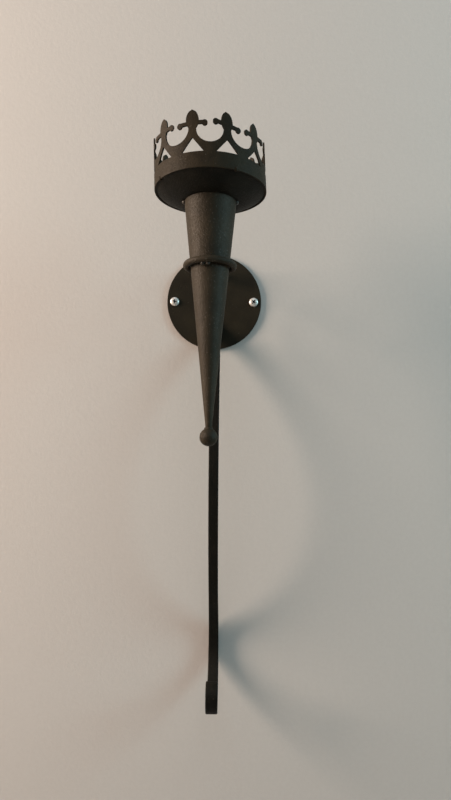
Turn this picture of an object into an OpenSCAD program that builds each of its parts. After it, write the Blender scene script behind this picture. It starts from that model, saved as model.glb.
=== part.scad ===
// Wall torch sconce: a fleur-de-lis crown on a tapered torch, held by a ring, a scroll and a bowed bar.
// Millimetres. The wall is the plane Y = 0, the room lies toward -Y, +Z is up and +X is to the right.
// The origin is the centre of the plate's back, half way between the two screws.

/* [Wall plate] */
// Diameter of the wall plate
plate_d = 100; // [90:1:130]
// Thickness of the wall plate
plate_t = 3; // [2:0.5:6]
// Chamfer round the front of the wall plate
plate_edge = 0.6; // [0.2:0.1:1]
// Distance between the two wall screws
screw_span = 84; // [60:1:88]
// Radial clearance of a screw in its hole
screw_clearance = 0.25; // [0.1:0.05:0.5]

/* [Wall screws] */
// Diameter of a screw over its thread
screw_d = 5; // [3.5:0.5:6]
// Diameter of a screw's plain neck inside the wall plate
screw_neck_d = 3.7; // [2.5:0.1:4.5]
// Length of the threaded shank behind the wall plate
screw_depth = 37; // [20:1:60]
// Diameter of the blunt tip of a screw's point
screw_tip_d = 0.8; // [0.4:0.1:1.2]
// Diameter of a screw head
head_d = 9.4; // [8:0.1:11]
// Height of a screw head
head_h = 2.8; // [2.4:0.1:3.6]
// Length of each slot of the cross recess
recess_l = 4.8; // [3:0.1:6]
// Width of each slot of the cross recess
recess_w = 1.2; // [0.6:0.1:1.6]
// Depth of the cross recess
recess_depth = 1.8; // [1:0.1:2]
// Turn of each cross recess about its screw
recess_turns = [8, 37];

/* [Bars] */
// Side of the square bar of the bow
bar_side = 9.5; // [7:0.5:12]
// Chamfer along the corners of both bars
bar_edge = 0.8; // [0.3:0.1:1.2]
// Width of the scroll's flat bar
scroll_w = 9.5; // [6:0.5:12]
// Thickness of the scroll's flat bar
scroll_t = 5; // [3:0.5:6]
// Thickness of the scroll's bar at its inner end
scroll_tip_t = 3.2; // [2.5:0.1:5]

/* [Bow] */
// How far the bow stands to the right of the plate's centre
bow_x = 2.5; // [-4:0.5:4]
// Distance of the bow's centre line from the wall at its fullest point
bow_depth = 60; // [45:1:75]
// Height of the bow's fullest point
bow_z = -178; // [-200:1:-160]
// Radius of the bow above its fullest point
bow_upper_r = 220; // [180:5:260]
// Radius of the bow below its fullest point
bow_lower_r = 275; // [220:5:320]
// Radius of the back bend, where the bar comes to rest against the wall
back_bend_r = 60; // [30:5:90]
// Gap between the back bend and the wall
wall_gap = 0.3; // [0:0.1:2]
// How far above the back bend's end the bar starts to widen toward the hook
widen_l = 60; // [30:5:90]

/* [Tail hook] */
// Radius of the tail as it leaves the wall
tail_r = 49; // [40:1:60]
// Radius of the hook's rise
hook_rise_r = 16; // [14:1:24]
// Radius of the hook's top
hook_top_r = 10.5; // [9:0.5:16]
// Radius of the hook's inner end
hook_end_r = 9; // [8:1:14]
// Angle that the hook's inner end turns through
hook_end_turn = 40; // [10:5:80]
// Width of the bar at the hook
hook_w = 11.4; // [9:0.5:14]
// Thickness of the bar at the hook's inner end
hook_tip_t = 4.5; // [3:0.5:7]

/* [Scroll] */
// Radius of the lead from the wall plate to the top of the scroll
lead_r = 420; // [300:10:600]
// Radius of each quarter turn of the scroll, from its top inward
scroll_r = [35, 34.5, 29, 21, 15];
// Radius of the scroll's last bend
scroll_end_r = 10; // [7:1:12]
// Angle that the scroll's last bend turns through
scroll_end_turn = 75; // [20:5:100]

/* [Holder ring] */
// Height of the ring's centre
ring_z = -1.5; // [-15:1:10]
// Diameter of the ring's round bar
ring_bar_d = 5.4; // [4:0.1:7]
// Radial clearance between the ring and the torch
ring_clearance = 0.9; // [0.4:0.1:1.5]
// Gap between the scroll's front and the ring
ring_gap = 0.2; // [0.1:0.1:0.8]

/* [Torch] */
// Distance of the torch's axis from the wall
axis_d = 130; // [110:1:150]
// Height of the pan's underside, where the torch ends
pan_z = 52; // [40:1:65]
// Length of the tapered torch
cone_l = 191; // [170:1:220]
// Diameter of the torch at the pan
cone_top_d = 44; // [40:0.2:52]
// Diameter of the torch at its lower end
cone_tip_d = 5.2; // [4:0.2:8]
// Thickness of the torch's sheet
cone_wall = 1.5; // [1:0.1:1.8]
// Diameter of the ball at the lower end
ball_d = 15.4; // [12:0.2:20]

/* [Pan and crown] */
// Outer diameter of the crown
crown_d = 94.4; // [80:0.2:110]
// Thickness of the crown's sheet
crown_t = 1.3; // [1:0.1:2.5]
// Thickness of the pan's sheet
pan_t = 1.5; // [1:0.1:3]
// Diameter of the flat middle of the pan
pan_flat_d = 46; // [44:1:60]
// Height of the pan's rim above its flat middle
pan_rise = 8.8; // [4:0.2:14]
// Radius that the pan's flank is dished to
pan_dish_r = 69; // [50:1:120]
// Radial clearance of the pan inside the crown
pan_clearance = 0.2; // [0.1:0.05:0.4]
// How far the crown reaches below the pan
crown_drop = 0.6; // [0:0.1:2]
// Height of the closed band below the pointed windows
band_h = 12.2; // [8:0.1:14]

/* [Fleurs] */
// Directions of the fleurs, counted from the front
fleur_turns = [18.5, 52, 88, 128, 162, 198, 239, 277, 308.5, 344.5];
// How much higher than drawn each fleur of the hand-cut crown stands
fleur_lifts = [0, 0, -0.4, 2, 1.2, 1.2, 1.4, 0, 1.8, 1.5];
// Height of a fleur's tip above the crown's lower edge
fleur_h = 43.2; // [40:0.2:50]
// Width of a fleur's head
head_w = 9.4; // [7:0.2:11]
// Length of a fleur's head
head_l = 15; // [12:0.2:16]
// How far the point of a fleur's head stands above its round
head_point = 0.5; // [0:0.1:1.5]
// Width of a fleur's waist
waist_w = 6; // [4:0.2:8]
// Height of the round cut's centre between two fleurs
cut_z = 29.4; // [28:0.2:32]
// Height of a fleur's arms
arm_z = 32.9; // [31:0.1:35]
// Thickness of a fleur's arms
arm_t = 2.8; // [1.6:0.1:3]
// Reach of a fleur's arms to the centre of their round ends
arm_reach = 9.6; // [8:0.1:10.5]
// Radius of the round ends of a fleur's arms
arm_end_r = 2.3; // [1.6:0.1:2.8]
// How far the round ends hang below the arms
arm_droop = 0.6; // [0:0.1:1.5]
// Width of the pointed window below a fleur
window_w = 18.6; // [12:0.2:20]
// Height of the pointed window below a fleur
window_h = 9.2; // [6:0.2:11]

/* [Welds] */
// Directions of the tacks between pan and crown, counted from the front
rim_tack_turns = [27, 160, 205, 302];
// Radius of a tack between pan and crown
rim_tack_r = 2; // [1.6:0.1:2.6]
// Directions of the tacks between torch and pan, counted from the front
cone_tack_turns = [-82, 82, 180];
// Radius of a tack between torch and pan
cone_tack_r = 2.2; // [1.4:0.1:3]
// Directions of the tacks between torch and ring, counted from the front
ring_tack_turns = [-17, -3, 170];
// Radius of a tack between torch and ring
ring_tack_r = 1.9; // [1.4:0.1:2.4]
// Radius of the beads that hold the bars on the wall plate
plate_bead_r = 2.4; // [1.5:0.1:3]
// Radius of the beads between the scroll and the ring
scroll_bead_r = 1.8; // [1.2:0.1:2.4]
// Radius of the bead round the torch's tip, where the ball sits
tip_bead_r = 1.3; // [0.8:0.1:1.8]

/* [Hidden] */
$fn = 96;
paint = "#26231f";
zinc = "#c4c6c8";
bead_fn = 64;      // facets of the weld beads
fine_fn = 360;     // facets of a large curve that a small bead is cut by
kiss = 0.02;       // gap between a weld bead and a bent bar's face
step_deg = 5;      // angle between two rings of a bent bar
long_step_deg = 2; // the same on a long bend
long_r = 100;      // radius over which a bend counts as long
head_step = 15;    // angle between two corners of a fleur's head
corners = 8;       // corners of a bar's section
buried = 6;        // how far a bar's path starts behind the plate's face, before it is cut there
past = 1;          // how far a cut runs past what it cuts
far = 400;         // larger than any cut needs

screw_x = [-screw_span / 2, screw_span / 2];
hole_r = screw_d / 2 + screw_clearance;
head_dome_r = (pow(head_d / 2, 2) + head_h * head_h) / (2 * head_h);

cone_slope = (cone_top_d - cone_tip_d) / 2 / cone_l;
ring_r = cone_top_d / 2 - cone_slope * (pan_z - ring_z) + ring_clearance + ring_bar_d / 2;
ball_z = pan_z - cone_l - sqrt(pow(ball_d / 2, 2) - pow(cone_tip_d / 2, 2));

crown_r = crown_d / 2;
sheet_reach = 3 * crown_t; // how far behind the crown's foremost line a shape is pushed through its sheet
pan_r = crown_r - crown_t - pan_clearance;
crown_z = pan_z + pan_rise - crown_drop;
fleur_n = len(fleur_turns);
// Angle from each fleur to the next, and the round cut that leaves their waists
fleur_gaps = [for (i = [0 : fleur_n - 1])
    fleur_turns[(i + 1) % fleur_n] - fleur_turns[i] + (i == fleur_n - 1 ? 360 : 0)];
cut_radii = [for (gap = fleur_gaps) crown_r * sin(gap / 2) - waist_w / 2];
cut_heights = [for (i = [0 : fleur_n - 1]) cut_z + (fleur_lifts[i] + fleur_lifts[(i + 1) % fleur_n]) / 2];

// Centre of the arc that the pan's flank is dished to, [distance from the axis, height above the pan's underside]
flank = [pan_r - pan_flat_d / 2, pan_rise];
flank_sag = sqrt(pow(pan_dish_r, 2) - pow(norm(flank) / 2, 2)) / norm(flank);
dish_centre = [pan_flat_d / 2, 0] + flank / 2 + flank_sag * [-flank[1], flank[0]];

// ---- bent bars: a path is a start [u, z, heading] and a list of bends [radius, turn] ----
// u is the distance from the wall; a heading of 0 points out of the wall and 90 points up.
function bend_start(at, bends, i) = i == 0 ? at : bend_end(bend_start(at, bends, i - 1), bends[i - 1]);
function bend_end(at, bend, part = 1) =
    let (side = sign(bend[1]), turned = at[2] + part * bend[1])
    [at[0] + side * bend[0] * (sin(turned) - sin(at[2])),
     at[1] - side * bend[0] * (cos(turned) - cos(at[2])),
     turned];
function bend_steps(bend) = ceil(abs(bend[1]) / (bend[0] > long_r ? long_step_deg : step_deg));
function bend_length(bend) = bend[0] * abs(bend[1]) * PI / 180;
function length_to(bends, i) = i == 0 ? 0 : length_to(bends, i - 1) + bend_length(bends[i - 1]);

// Every station of a path: [u, z, heading, length so far]
function stations(at, bends) = concat(
    [[at[0], at[1], at[2], 0]],
    [for (i = [0 : len(bends) - 1])
        let (from = bend_start(at, bends, i), count = bend_steps(bends[i]))
        for (k = [1 : count])
            let (here = bend_end(from, bends[i], k / count))
            [here[0], here[1], here[2], length_to(bends, i) + bend_length(bends[i]) * k / count]]);

// A rectangle w wide and t thick with its corners cut off
function bar_section(w, t) = [for (q = [[1, 1], [-1, 1], [-1, -1], [1, -1]])
    let (along = [q[0] * (w / 2 - bar_edge), q[1] * t / 2], across = [q[0] * w / 2, q[1] * (t / 2 - bar_edge)])
    each q[0] * q[1] > 0 ? [across, along] : [along, across]];

function bar_ring(here, w, t) = [for (p = bar_section(w, t))
    [p[0], -(here[0] - p[1] * sin(here[2])), here[1] + p[1] * cos(here[2])]];

// A bar along a path; widths and thicknesses are tables of [length so far, size]
module bent_bar(at, bends, widths, thicknesses) {
    path = stations(at, bends);
    last = len(path) - 1;
    rings = [for (here = path) each bar_ring(here, lookup(here[3], widths), lookup(here[3], thicknesses))];
    sides = [for (i = [0 : last - 1], k = [0 : corners - 1])
        let (a = i * corners + k, b = i * corners + (k + 1) % corners)
        each [[a, b, b + corners], [a, b + corners, a + corners]]];
    caps = [[for (k = [corners - 1 : -1 : 0]) k], [for (k = [0 : corners - 1]) last * corners + k]];
    polyhedron(points = rings, faces = concat(sides, caps), convexity = 12);
}

// ---- the two bars' paths ----
bow_start_turn = acos((bow_upper_r - bow_depth + plate_t - buried) / bow_upper_r);
bow_start = [plate_t - buried, bow_z + bow_upper_r * sin(bow_start_turn), bow_start_turn - 90];
bow_foot_turn = acos((bow_upper_r - bow_depth + plate_t) / bow_upper_r);
bow_foot = [plate_t, bow_z + bow_upper_r * sin(bow_foot_turn), bow_foot_turn - 90];
rest_u = wall_gap + bar_side / 2;
bow_back_turn = acos((bow_lower_r + back_bend_r - bow_depth + rest_u) / (bow_lower_r + back_bend_r));
bow_bends = [[bow_upper_r, -bow_start_turn], [bow_lower_r, -bow_back_turn], [back_bend_r, bow_back_turn],
             [tail_r, 90], [hook_rise_r, 90], [hook_top_r, 90], [hook_end_r, hook_end_turn]];
bow_length = length_to(bow_bends, len(bow_bends));
rest_length = length_to(bow_bends, 3);
hook_length = length_to(bow_bends, 4);
bow_widths = [[0, bar_side], [rest_length - widen_l, bar_side], [hook_length, hook_w], [bow_length, hook_w]];
bow_thicknesses = [[0, bar_side], [rest_length, bar_side], [bow_length, hook_tip_t]];

scroll_front_u = axis_d - ring_r - ring_bar_d / 2 - ring_gap - scroll_t / 2;
scroll_top_u = scroll_front_u - scroll_r[0];
scroll_top_z = ring_z + scroll_r[0];
lead_turn = asin((scroll_top_u - plate_t + buried) / lead_r);
scroll_start = [plate_t - buried, scroll_top_z - lead_r * (1 - cos(lead_turn)), lead_turn];
scroll_foot_turn = asin((scroll_top_u - plate_t) / lead_r);
scroll_foot = [plate_t, scroll_top_z - lead_r * (1 - cos(scroll_foot_turn)), scroll_foot_turn];
scroll_bends = concat([[lead_r, -lead_turn]], [for (r = scroll_r) [r, -90]],
                      [[scroll_end_r, -scroll_end_turn]]);
scroll_length = length_to(scroll_bends, len(scroll_bends));
scroll_taper_from = length_to(scroll_bends, 4);
scroll_widths = [[0, scroll_w], [scroll_length, scroll_w]];
scroll_thicknesses = [[0, scroll_t], [scroll_taper_from, scroll_t], [scroll_length, scroll_tip_t]];

// ---- small helpers ----
module at_screws() for (i = [0, 1]) translate([screw_x[i], 0, 0]) rotate([0, recess_turns[i], 0]) children();
// Lays a thing that stands up +Z so that it points out of the wall
module out_of_wall() rotate([90, 0, 0]) children();
module keep_before_plate() difference() {
    children();
    translate([-far / 2, -plate_t, -far]) cube([far, far, 2 * far]);
}

// ---- wall plate and screws ----
module wall_plate() color(paint) difference() {
    out_of_wall() union() {
        cylinder(r = plate_d / 2, h = plate_t - plate_edge);
        translate([0, 0, plate_t - plate_edge])
            cylinder(r1 = plate_d / 2, r2 = plate_d / 2 - plate_edge, h = plate_edge);
    }
    for (x = screw_x) translate([x, past, 0]) out_of_wall() cylinder(r = hole_r, h = plate_t + 2 * past);
}

module screw_head() difference() {
    intersection() {
        translate([0, 0, head_h - head_dome_r]) sphere(r = head_dome_r);
        cylinder(r = head_d, h = head_h);
    }
    for (turn = [0, 90]) rotate([0, 0, turn])
        translate([-recess_l / 2, -recess_w / 2, head_h - recess_depth]) cube([recess_l, recess_w, head_h]);
}

module wall_screws() color(zinc) at_screws() union() {
    translate([0, -plate_t, 0]) out_of_wall() screw_head();
    translate([0, screw_d, 0]) out_of_wall() cylinder(r = screw_neck_d / 2, h = screw_d + plate_t);
    translate([0, screw_depth, 0]) out_of_wall() cylinder(r = screw_d / 2, h = screw_depth);
    translate([0, screw_depth, 0]) rotate([-90, 0, 0])
        cylinder(r1 = screw_d / 2, r2 = screw_tip_d / 2, h = screw_d);
}

// ---- bars ----
module scroll_bar() color(paint) keep_before_plate()
    bent_bar(scroll_start, scroll_bends, scroll_widths, scroll_thicknesses);

module bow_bar() color(paint) translate([bow_x, 0, 0]) keep_before_plate()
    bent_bar(bow_start, bow_bends, bow_widths, bow_thicknesses);

module holder_ring() color(paint) translate([0, -axis_d, ring_z]) rotate_extrude()
    translate([ring_r, 0]) circle(r = ring_bar_d / 2);

// ---- torch ----
module cone_blank(facets = $fn) translate([0, -axis_d, pan_z - cone_l])
    cylinder(r1 = cone_tip_d / 2, r2 = cone_top_d / 2, h = cone_l, $fn = facets);

module ball_finial() color(paint) translate([0, -axis_d, ball_z]) sphere(r = ball_d / 2);

module torch_cone() color(paint) difference() {
    cone_blank();
    translate([0, -axis_d, pan_z - cone_l]) rotate_extrude() polygon([
        [0, -past], [cone_tip_d / 2 - cone_wall, -past], [cone_tip_d / 2 - cone_wall, 0],
        [cone_top_d / 2 - cone_wall, cone_l], [cone_top_d / 2 - cone_wall, cone_l + past], [0, cone_l + past]]);
    ball_finial();
}

// ---- pan and crown ----
// Half of the pan's section: a flat middle and a dished flank
module pan_section() union() {
    square([pan_flat_d / 2, pan_t]);
    intersection() {
        difference() {
            translate(dish_centre) circle(r = pan_dish_r, $fn = fine_fn);
            translate(dish_centre) circle(r = pan_dish_r - pan_t, $fn = fine_fn);
        }
        translate([pan_flat_d / 2 - pan_t, 0]) square([flank[0] + pan_t, pan_rise + 2 * pan_t]);
    }
}

module drip_pan() color(paint) translate([0, -axis_d, pan_z]) rotate_extrude() pan_section();

// Head of a fleur: an oval with a slight point at the top
module fleur_head() polygon([for (turn = [0 : head_step : 360 - head_step])
    [head_w / 2 * sin(turn), fleur_h - head_l / 2 + (turn == 0 ? 0 : -head_point) + head_l / 2 * cos(turn)]]);

module fleur_arm() union() {
    translate([0, arm_z - arm_t / 2]) square([arm_reach, arm_t]);
    translate([arm_reach, arm_z - arm_droop]) circle(r = arm_end_r);
}

module crown_tube(h) difference() {
    cylinder(r = crown_r, h = h);
    translate([0, 0, -past]) cylinder(r = crown_r - crown_t, h = h + 2 * past);
}

// Pushes a flat shape through the crown's sheet at a direction counted from the front
module through_sheet(turn) rotate([0, 0, turn]) translate([0, sheet_reach - crown_r, 0]) out_of_wall()
    linear_extrude(sheet_reach + past) children();

// The closed band with its legs, up to the arms: round cuts between the fleurs and a window below each
module crown_legs() difference() {
    crown_tube(arm_z + max(fleur_lifts) + past);
    for (i = [0 : fleur_n - 1]) {
        through_sheet(fleur_turns[i] + fleur_gaps[i] / 2) translate([0, cut_heights[i]])
            circle(r = cut_radii[i]);
        through_sheet(fleur_turns[i]) translate([0, band_h])
            polygon([[-window_w / 2, 0], [window_w / 2, 0], [0, window_h + fleur_lifts[i]]]);
        through_sheet(fleur_turns[i]) translate([-arm_reach, arm_z + fleur_lifts[i]])
            square([2 * arm_reach, fleur_h]);
    }
}

// Head and arms of every fleur
module crown_heads() intersection() {
    translate([0, 0, band_h]) crown_tube(fleur_h);
    for (i = [0 : fleur_n - 1]) through_sheet(fleur_turns[i]) translate([0, fleur_lifts[i]]) union() {
        fleur_head();
        fleur_arm();
        mirror([1, 0]) fleur_arm();
    }
}

module crown_band() color(paint) translate([0, -axis_d, crown_z]) union() {
    crown_legs();
    crown_heads();
}

// ---- welds: round beads, cut to the pieces that they join ----
// A ball of weld at a direction round the torch, a distance from its axis and a height
module bead(turn, r, z, bead_r) rotate([0, 0, turn]) translate([0, -r, z]) sphere(r = bead_r, $fn = bead_fn);

module rim_tacks() color(paint) translate([0, -axis_d, 0])
    for (turn = rim_tack_turns) difference() {
        bead(turn, crown_r - crown_t, crown_z + rim_tack_r / 2, rim_tack_r);
        translate([0, 0, crown_z]) rotate_extrude($fn = fine_fn) polygon([
            [0, crown_drop], [crown_r - crown_t, crown_drop], [crown_r - crown_t, 0], [crown_r, 0],
            [crown_r, fleur_h], [0, fleur_h]]);
        translate([0, axis_d, 0]) drip_pan();
    }

module cone_tacks() color(paint) translate([0, -axis_d, 0])
    for (turn = cone_tack_turns) difference() {
        bead(turn, cone_top_d / 2, pan_z, cone_tack_r);
        translate([0, 0, pan_z]) cylinder(r = pan_r, h = far);
        translate([0, axis_d, 0]) cone_blank(fine_fn);
    }

module ring_tacks() color(paint) translate([0, -axis_d, 0])
    for (turn = ring_tack_turns) difference() {
        bead(turn, ring_r - ring_bar_d / 3, ring_z - ring_bar_d / 2, ring_tack_r);
        translate([0, axis_d, 0]) cone_blank(fine_fn);
        translate([0, axis_d, 0]) holder_ring();
    }

module ring_weld() color(paint) difference() {
    translate([-scroll_w / 2 + bar_edge, -scroll_front_u - scroll_t / 2, ring_z - ring_bar_d / 2])
        rotate([0, 90, 0]) cylinder(r = scroll_bead_r, h = scroll_w - 2 * bar_edge);
    holder_ring();
    translate([-scroll_w, -scroll_top_u, ring_z]) rotate([0, 90, 0])
        cylinder(r = scroll_r[0] + scroll_t / 2 + kiss, h = 2 * scroll_w, $fn = fine_fn);
}

// Two beads that lie across a bar's foot, in the corners between the bar and the plate
module foot_beads(foot, w, t) keep_before_plate() difference() {
    for (side = [-1, 1]) translate([-w / 2, -foot[0], foot[1] + side * t / 2 / cos(foot[2])])
        rotate([0, 90, 0]) cylinder(r = plate_bead_r, h = w, $fn = bead_fn);
    translate([0, -foot[0], foot[1]]) rotate([-foot[2], 0, 0])
        cube([2 * w, far, t + 2 * kiss], center = true);
}

module scroll_welds() color(paint) foot_beads(scroll_foot, scroll_w, scroll_t);

module bow_welds() color(paint) translate([bow_x, 0, 0]) foot_beads(bow_foot, bar_side, bar_side);

module tip_weld() color(paint) difference() {
    translate([0, -axis_d, pan_z - cone_l]) rotate_extrude($fn = fine_fn)
        translate([cone_tip_d / 2, 0]) circle(r = tip_bead_r, $fn = bead_fn);
    cone_blank(fine_fn);
    ball_finial();
}

wall_plate();
wall_screws();
scroll_bar();
bow_bar();
holder_ring();
torch_cone();
ball_finial();
drip_pan();
crown_band();
rim_tacks();
cone_tacks();
ring_tacks();
scroll_welds();
bow_welds();
ring_weld();
tip_weld();
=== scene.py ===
"""Wall torch sconce: what shows of it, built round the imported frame.

Metres. The wall is the plane Y = 0, the room lies toward -Y, +Z is up and +X is to the right.
A place on a bar is given by u, its distance from the wall, and z, its height. A turn round the
torch is counted in degrees from the front, + toward +X.
"""

import logging
import math
from collections.abc import Callable, Iterator, Sequence
from contextlib import contextmanager
from dataclasses import dataclass, field
from enum import Enum

import bmesh
import bpy
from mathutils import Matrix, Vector


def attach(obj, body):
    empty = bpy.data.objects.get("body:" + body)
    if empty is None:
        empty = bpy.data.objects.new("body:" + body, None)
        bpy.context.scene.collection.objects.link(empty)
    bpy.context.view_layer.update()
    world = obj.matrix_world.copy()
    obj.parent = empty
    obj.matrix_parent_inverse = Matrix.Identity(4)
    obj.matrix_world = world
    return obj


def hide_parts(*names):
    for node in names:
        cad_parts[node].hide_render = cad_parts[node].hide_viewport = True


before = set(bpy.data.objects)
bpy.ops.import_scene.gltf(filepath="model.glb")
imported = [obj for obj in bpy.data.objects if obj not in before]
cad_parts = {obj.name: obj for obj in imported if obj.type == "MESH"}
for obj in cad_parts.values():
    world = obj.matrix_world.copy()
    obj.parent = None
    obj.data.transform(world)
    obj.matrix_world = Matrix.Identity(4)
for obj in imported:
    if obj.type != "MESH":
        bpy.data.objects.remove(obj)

LOG = logging.getLogger("torch_sconce")
# face attribute that marks where the screw finish paints shade into the recess
RECESS_SHADE_MARK = "recess_shade"
DOUBLED = 0.000002  # points nearer to each other than this are merged
TINY = 0.0001  # a face or point is picked out by its place with this much play
UP = (0, 0, 1)
ALONG_X = (1, 0, 0)
CENTRE = (0, 0, 0)

Piece = bpy.types.Object
Node = bpy.types.Node
Socket = bpy.types.NodeSocket
Triple = tuple[float, float, float]
Colour = Triple
Place = Triple
SizeTable = Sequence[tuple[float, float]]


class Pick(Enum):
    """What is selected in edit mode."""

    POINTS = "VERT"
    EDGES = "EDGE"
    FACES = "FACE"


# ---------------------------------------------------------------- working on a mesh


def clear_selection() -> None:
    """Leaves edit mode and selects nothing."""
    if bpy.context.object and bpy.context.object.mode != "OBJECT":
        bpy.ops.object.mode_set(mode="OBJECT")
    bpy.ops.object.select_all(action="DESELECT")


def take_up(*pieces: Piece) -> None:
    """Makes pieces the only selected ones, and the first of them active.

    Args:
        pieces: the mesh objects.
    """
    clear_selection()
    for piece in pieces:
        piece.select_set(True)
    bpy.context.view_layer.objects.active = pieces[0]


@contextmanager
def editing(piece: Piece, kind: Pick = Pick.POINTS, everything: bool = False) -> Iterator[None]:
    """Opens a piece in edit mode and closes it again.

    Args:
        piece: the mesh object to open.
        kind: what the selection is made of.
        everything: whether all of it starts selected, or nothing.
    """
    take_up(piece)
    bpy.ops.object.mode_set(mode="EDIT")
    bpy.ops.mesh.select_mode(type=kind.value)
    bpy.ops.mesh.select_all(action="SELECT" if everything else "DESELECT")
    yield
    bpy.ops.object.mode_set(mode="OBJECT")


def choose(piece: Piece, kind: Pick, wanted: Callable[[Vector], bool]) -> None:
    """Selects points, edges or faces of the open piece by where their middle is.

    Args:
        piece: the mesh object in edit mode.
        kind: what is selected.
        wanted: says of a middle point whether it is wanted.
    """
    bpy.ops.mesh.select_mode(type=kind.value)
    bpy.ops.mesh.select_all(action="DESELECT")
    mesh = bmesh.from_edit_mesh(piece.data)
    parts = {Pick.POINTS: mesh.verts, Pick.EDGES: mesh.edges, Pick.FACES: mesh.faces}[kind]
    for part in parts:
        corners = [part] if kind is Pick.POINTS else part.verts
        part.select_set(wanted(sum((corner.co for corner in corners), Vector()) / len(corners)))
    mesh.select_flush_mode()
    bmesh.update_edit_mesh(piece.data)


def settle(piece: Piece) -> None:
    """Puts a piece's place, turn and scale into its mesh."""
    take_up(piece)
    bpy.ops.object.transform_apply(location=True, rotation=True, scale=True)


def fresh(add: Callable[..., object], **settings: object) -> Piece:
    """Adds a primitive with nothing else selected, and settles it.

    Args:
        add: the operator that adds it.
        settings: the operator's settings by name.

    Returns:
        The new mesh object.
    """
    clear_selection()
    add(**settings)
    piece = bpy.context.object
    settle(piece)
    return piece


def rod(radius: float, length: float, facets: int, middle: Place) -> Piece:
    """Returns a rod that runs along Y, by the middle of its length."""
    return fresh(bpy.ops.mesh.primitive_cylinder_add, vertices=facets, radius=radius, depth=length,
                 location=middle, rotation=(math.pi / 2, 0, 0))


def grow(stops: SizeTable, axis: Triple, centre: Place, edges: bool = False) -> None:
    """Extrudes what is selected of the open piece from stop to stop, and sizes it at each.

    Args:
        stops: (place along the axis, size) of each ring; the first is the ring as it stands.
        axis: the direction of growth, one of the three axes.
        centre: the point that the rings are sized about.
        edges: whether a loop of edges is extruded, and not faces.
    """
    extrude = bpy.ops.mesh.extrude_edges_move if edges else bpy.ops.mesh.extrude_region_move
    for (place, size), (new_place, new_size) in zip(stops, stops[1:]):
        extrude(TRANSFORM_OT_translate={"value": [way * (new_place - place) for way in axis]})
        bpy.ops.transform.resize(value=[1 if way else new_size / size for way in axis],
                                 center_override=centre)


def make_uneven(offset: float, seed: int, passes: int, outward: bool = True) -> None:
    """Moves the selected points of the open piece at random, and smooths the result.

    Args:
        offset: the furthest that a point moves.
        seed: where the random numbers start.
        passes: how often the points are smoothed.
        outward: whether points move square to the skin, and not any way.
    """
    bpy.ops.transform.vertex_random(offset=offset, uniform=float(not outward),
                                    normal=float(outward), seed=seed)
    bpy.ops.mesh.vertices_smooth(factor=0.5, repeat=passes)


def close_up(piece: Piece) -> None:
    """Merges doubled points and turns the faces outward.

    Args:
        piece: the mesh object.
    """
    with editing(piece, everything=True):
        bpy.ops.mesh.remove_doubles(threshold=DOUBLED)
        bpy.ops.mesh.normals_make_consistent(inside=False)


def work(piece: Piece, kind: str, **settings: object) -> None:
    """Adds a modifier to a piece and applies it.

    Args:
        piece: the mesh object.
        kind: the modifier's type.
        settings: its settings by name.
    """
    take_up(piece)
    bpy.ops.object.modifier_add(type=kind)
    modifier = piece.modifiers[-1]
    for name, value in settings.items():
        setattr(modifier, name, value)
    bpy.ops.object.modifier_apply(modifier=modifier.name)


def soften(piece: Piece, width: float, segments: int = 2, sharper_than: float = 50) -> None:
    """Rounds the edges of a piece that are sharper than an angle in degrees."""
    work(piece, "BEVEL", width=width, segments=segments, limit_method="ANGLE",
         angle_limit=math.radians(sharper_than), use_clamp_overlap=True)


def smooth(piece: Piece, angle: float = 35) -> None:
    """Shades a piece smooth, large faces first.

    Args:
        piece: the mesh object.
        angle: the degrees past which an edge stays sharp.
    """
    take_up(piece)
    bpy.ops.object.shade_smooth_by_angle(angle=math.radians(angle))
    work(piece, "WEIGHTED_NORMAL", keep_sharp=True, weight=80)


def unite(pieces: Sequence[Piece]) -> Piece:
    """Joins mesh objects, whose shells stay as they are.

    Args:
        pieces: one mesh object or more.

    Returns:
        The first of them, with all the shells.
    """
    take_up(*pieces)
    if len(pieces) > 1:
        bpy.ops.object.join()
    return bpy.context.object


def combine(piece: Piece, tool: Piece, operation: str) -> None:
    """Cuts a piece by a tool body or adds it, and takes the tool away.

    Args:
        piece: the mesh object that is kept.
        tool: a closed mesh object, whose shells may cross each other.
        operation: DIFFERENCE or UNION.
    """
    work(piece, "BOOLEAN", operation=operation, object=tool, solver="EXACT", use_self=True)
    bpy.data.objects.remove(tool)


def copy_of(piece: Piece) -> Piece:
    """Copies a piece.

    Args:
        piece: the mesh object.

    Returns:
        A second object with a mesh of its own.
    """
    take_up(piece)
    bpy.ops.object.duplicate(linked=False)
    return bpy.context.object


def size_at(table: SizeTable, run: float) -> float:
    """Reads a size off a table of (length so far, size).

    Args:
        table: pairs in order of length.
        run: the length so far.

    Returns:
        The size there, in a straight line between two pairs.
    """
    for (start, low), (end, high) in zip(table, table[1:]):
        if run <= end:
            return low + (high - low) * max(0.0, run - start) / (end - start)
    return table[-1][1]


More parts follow.
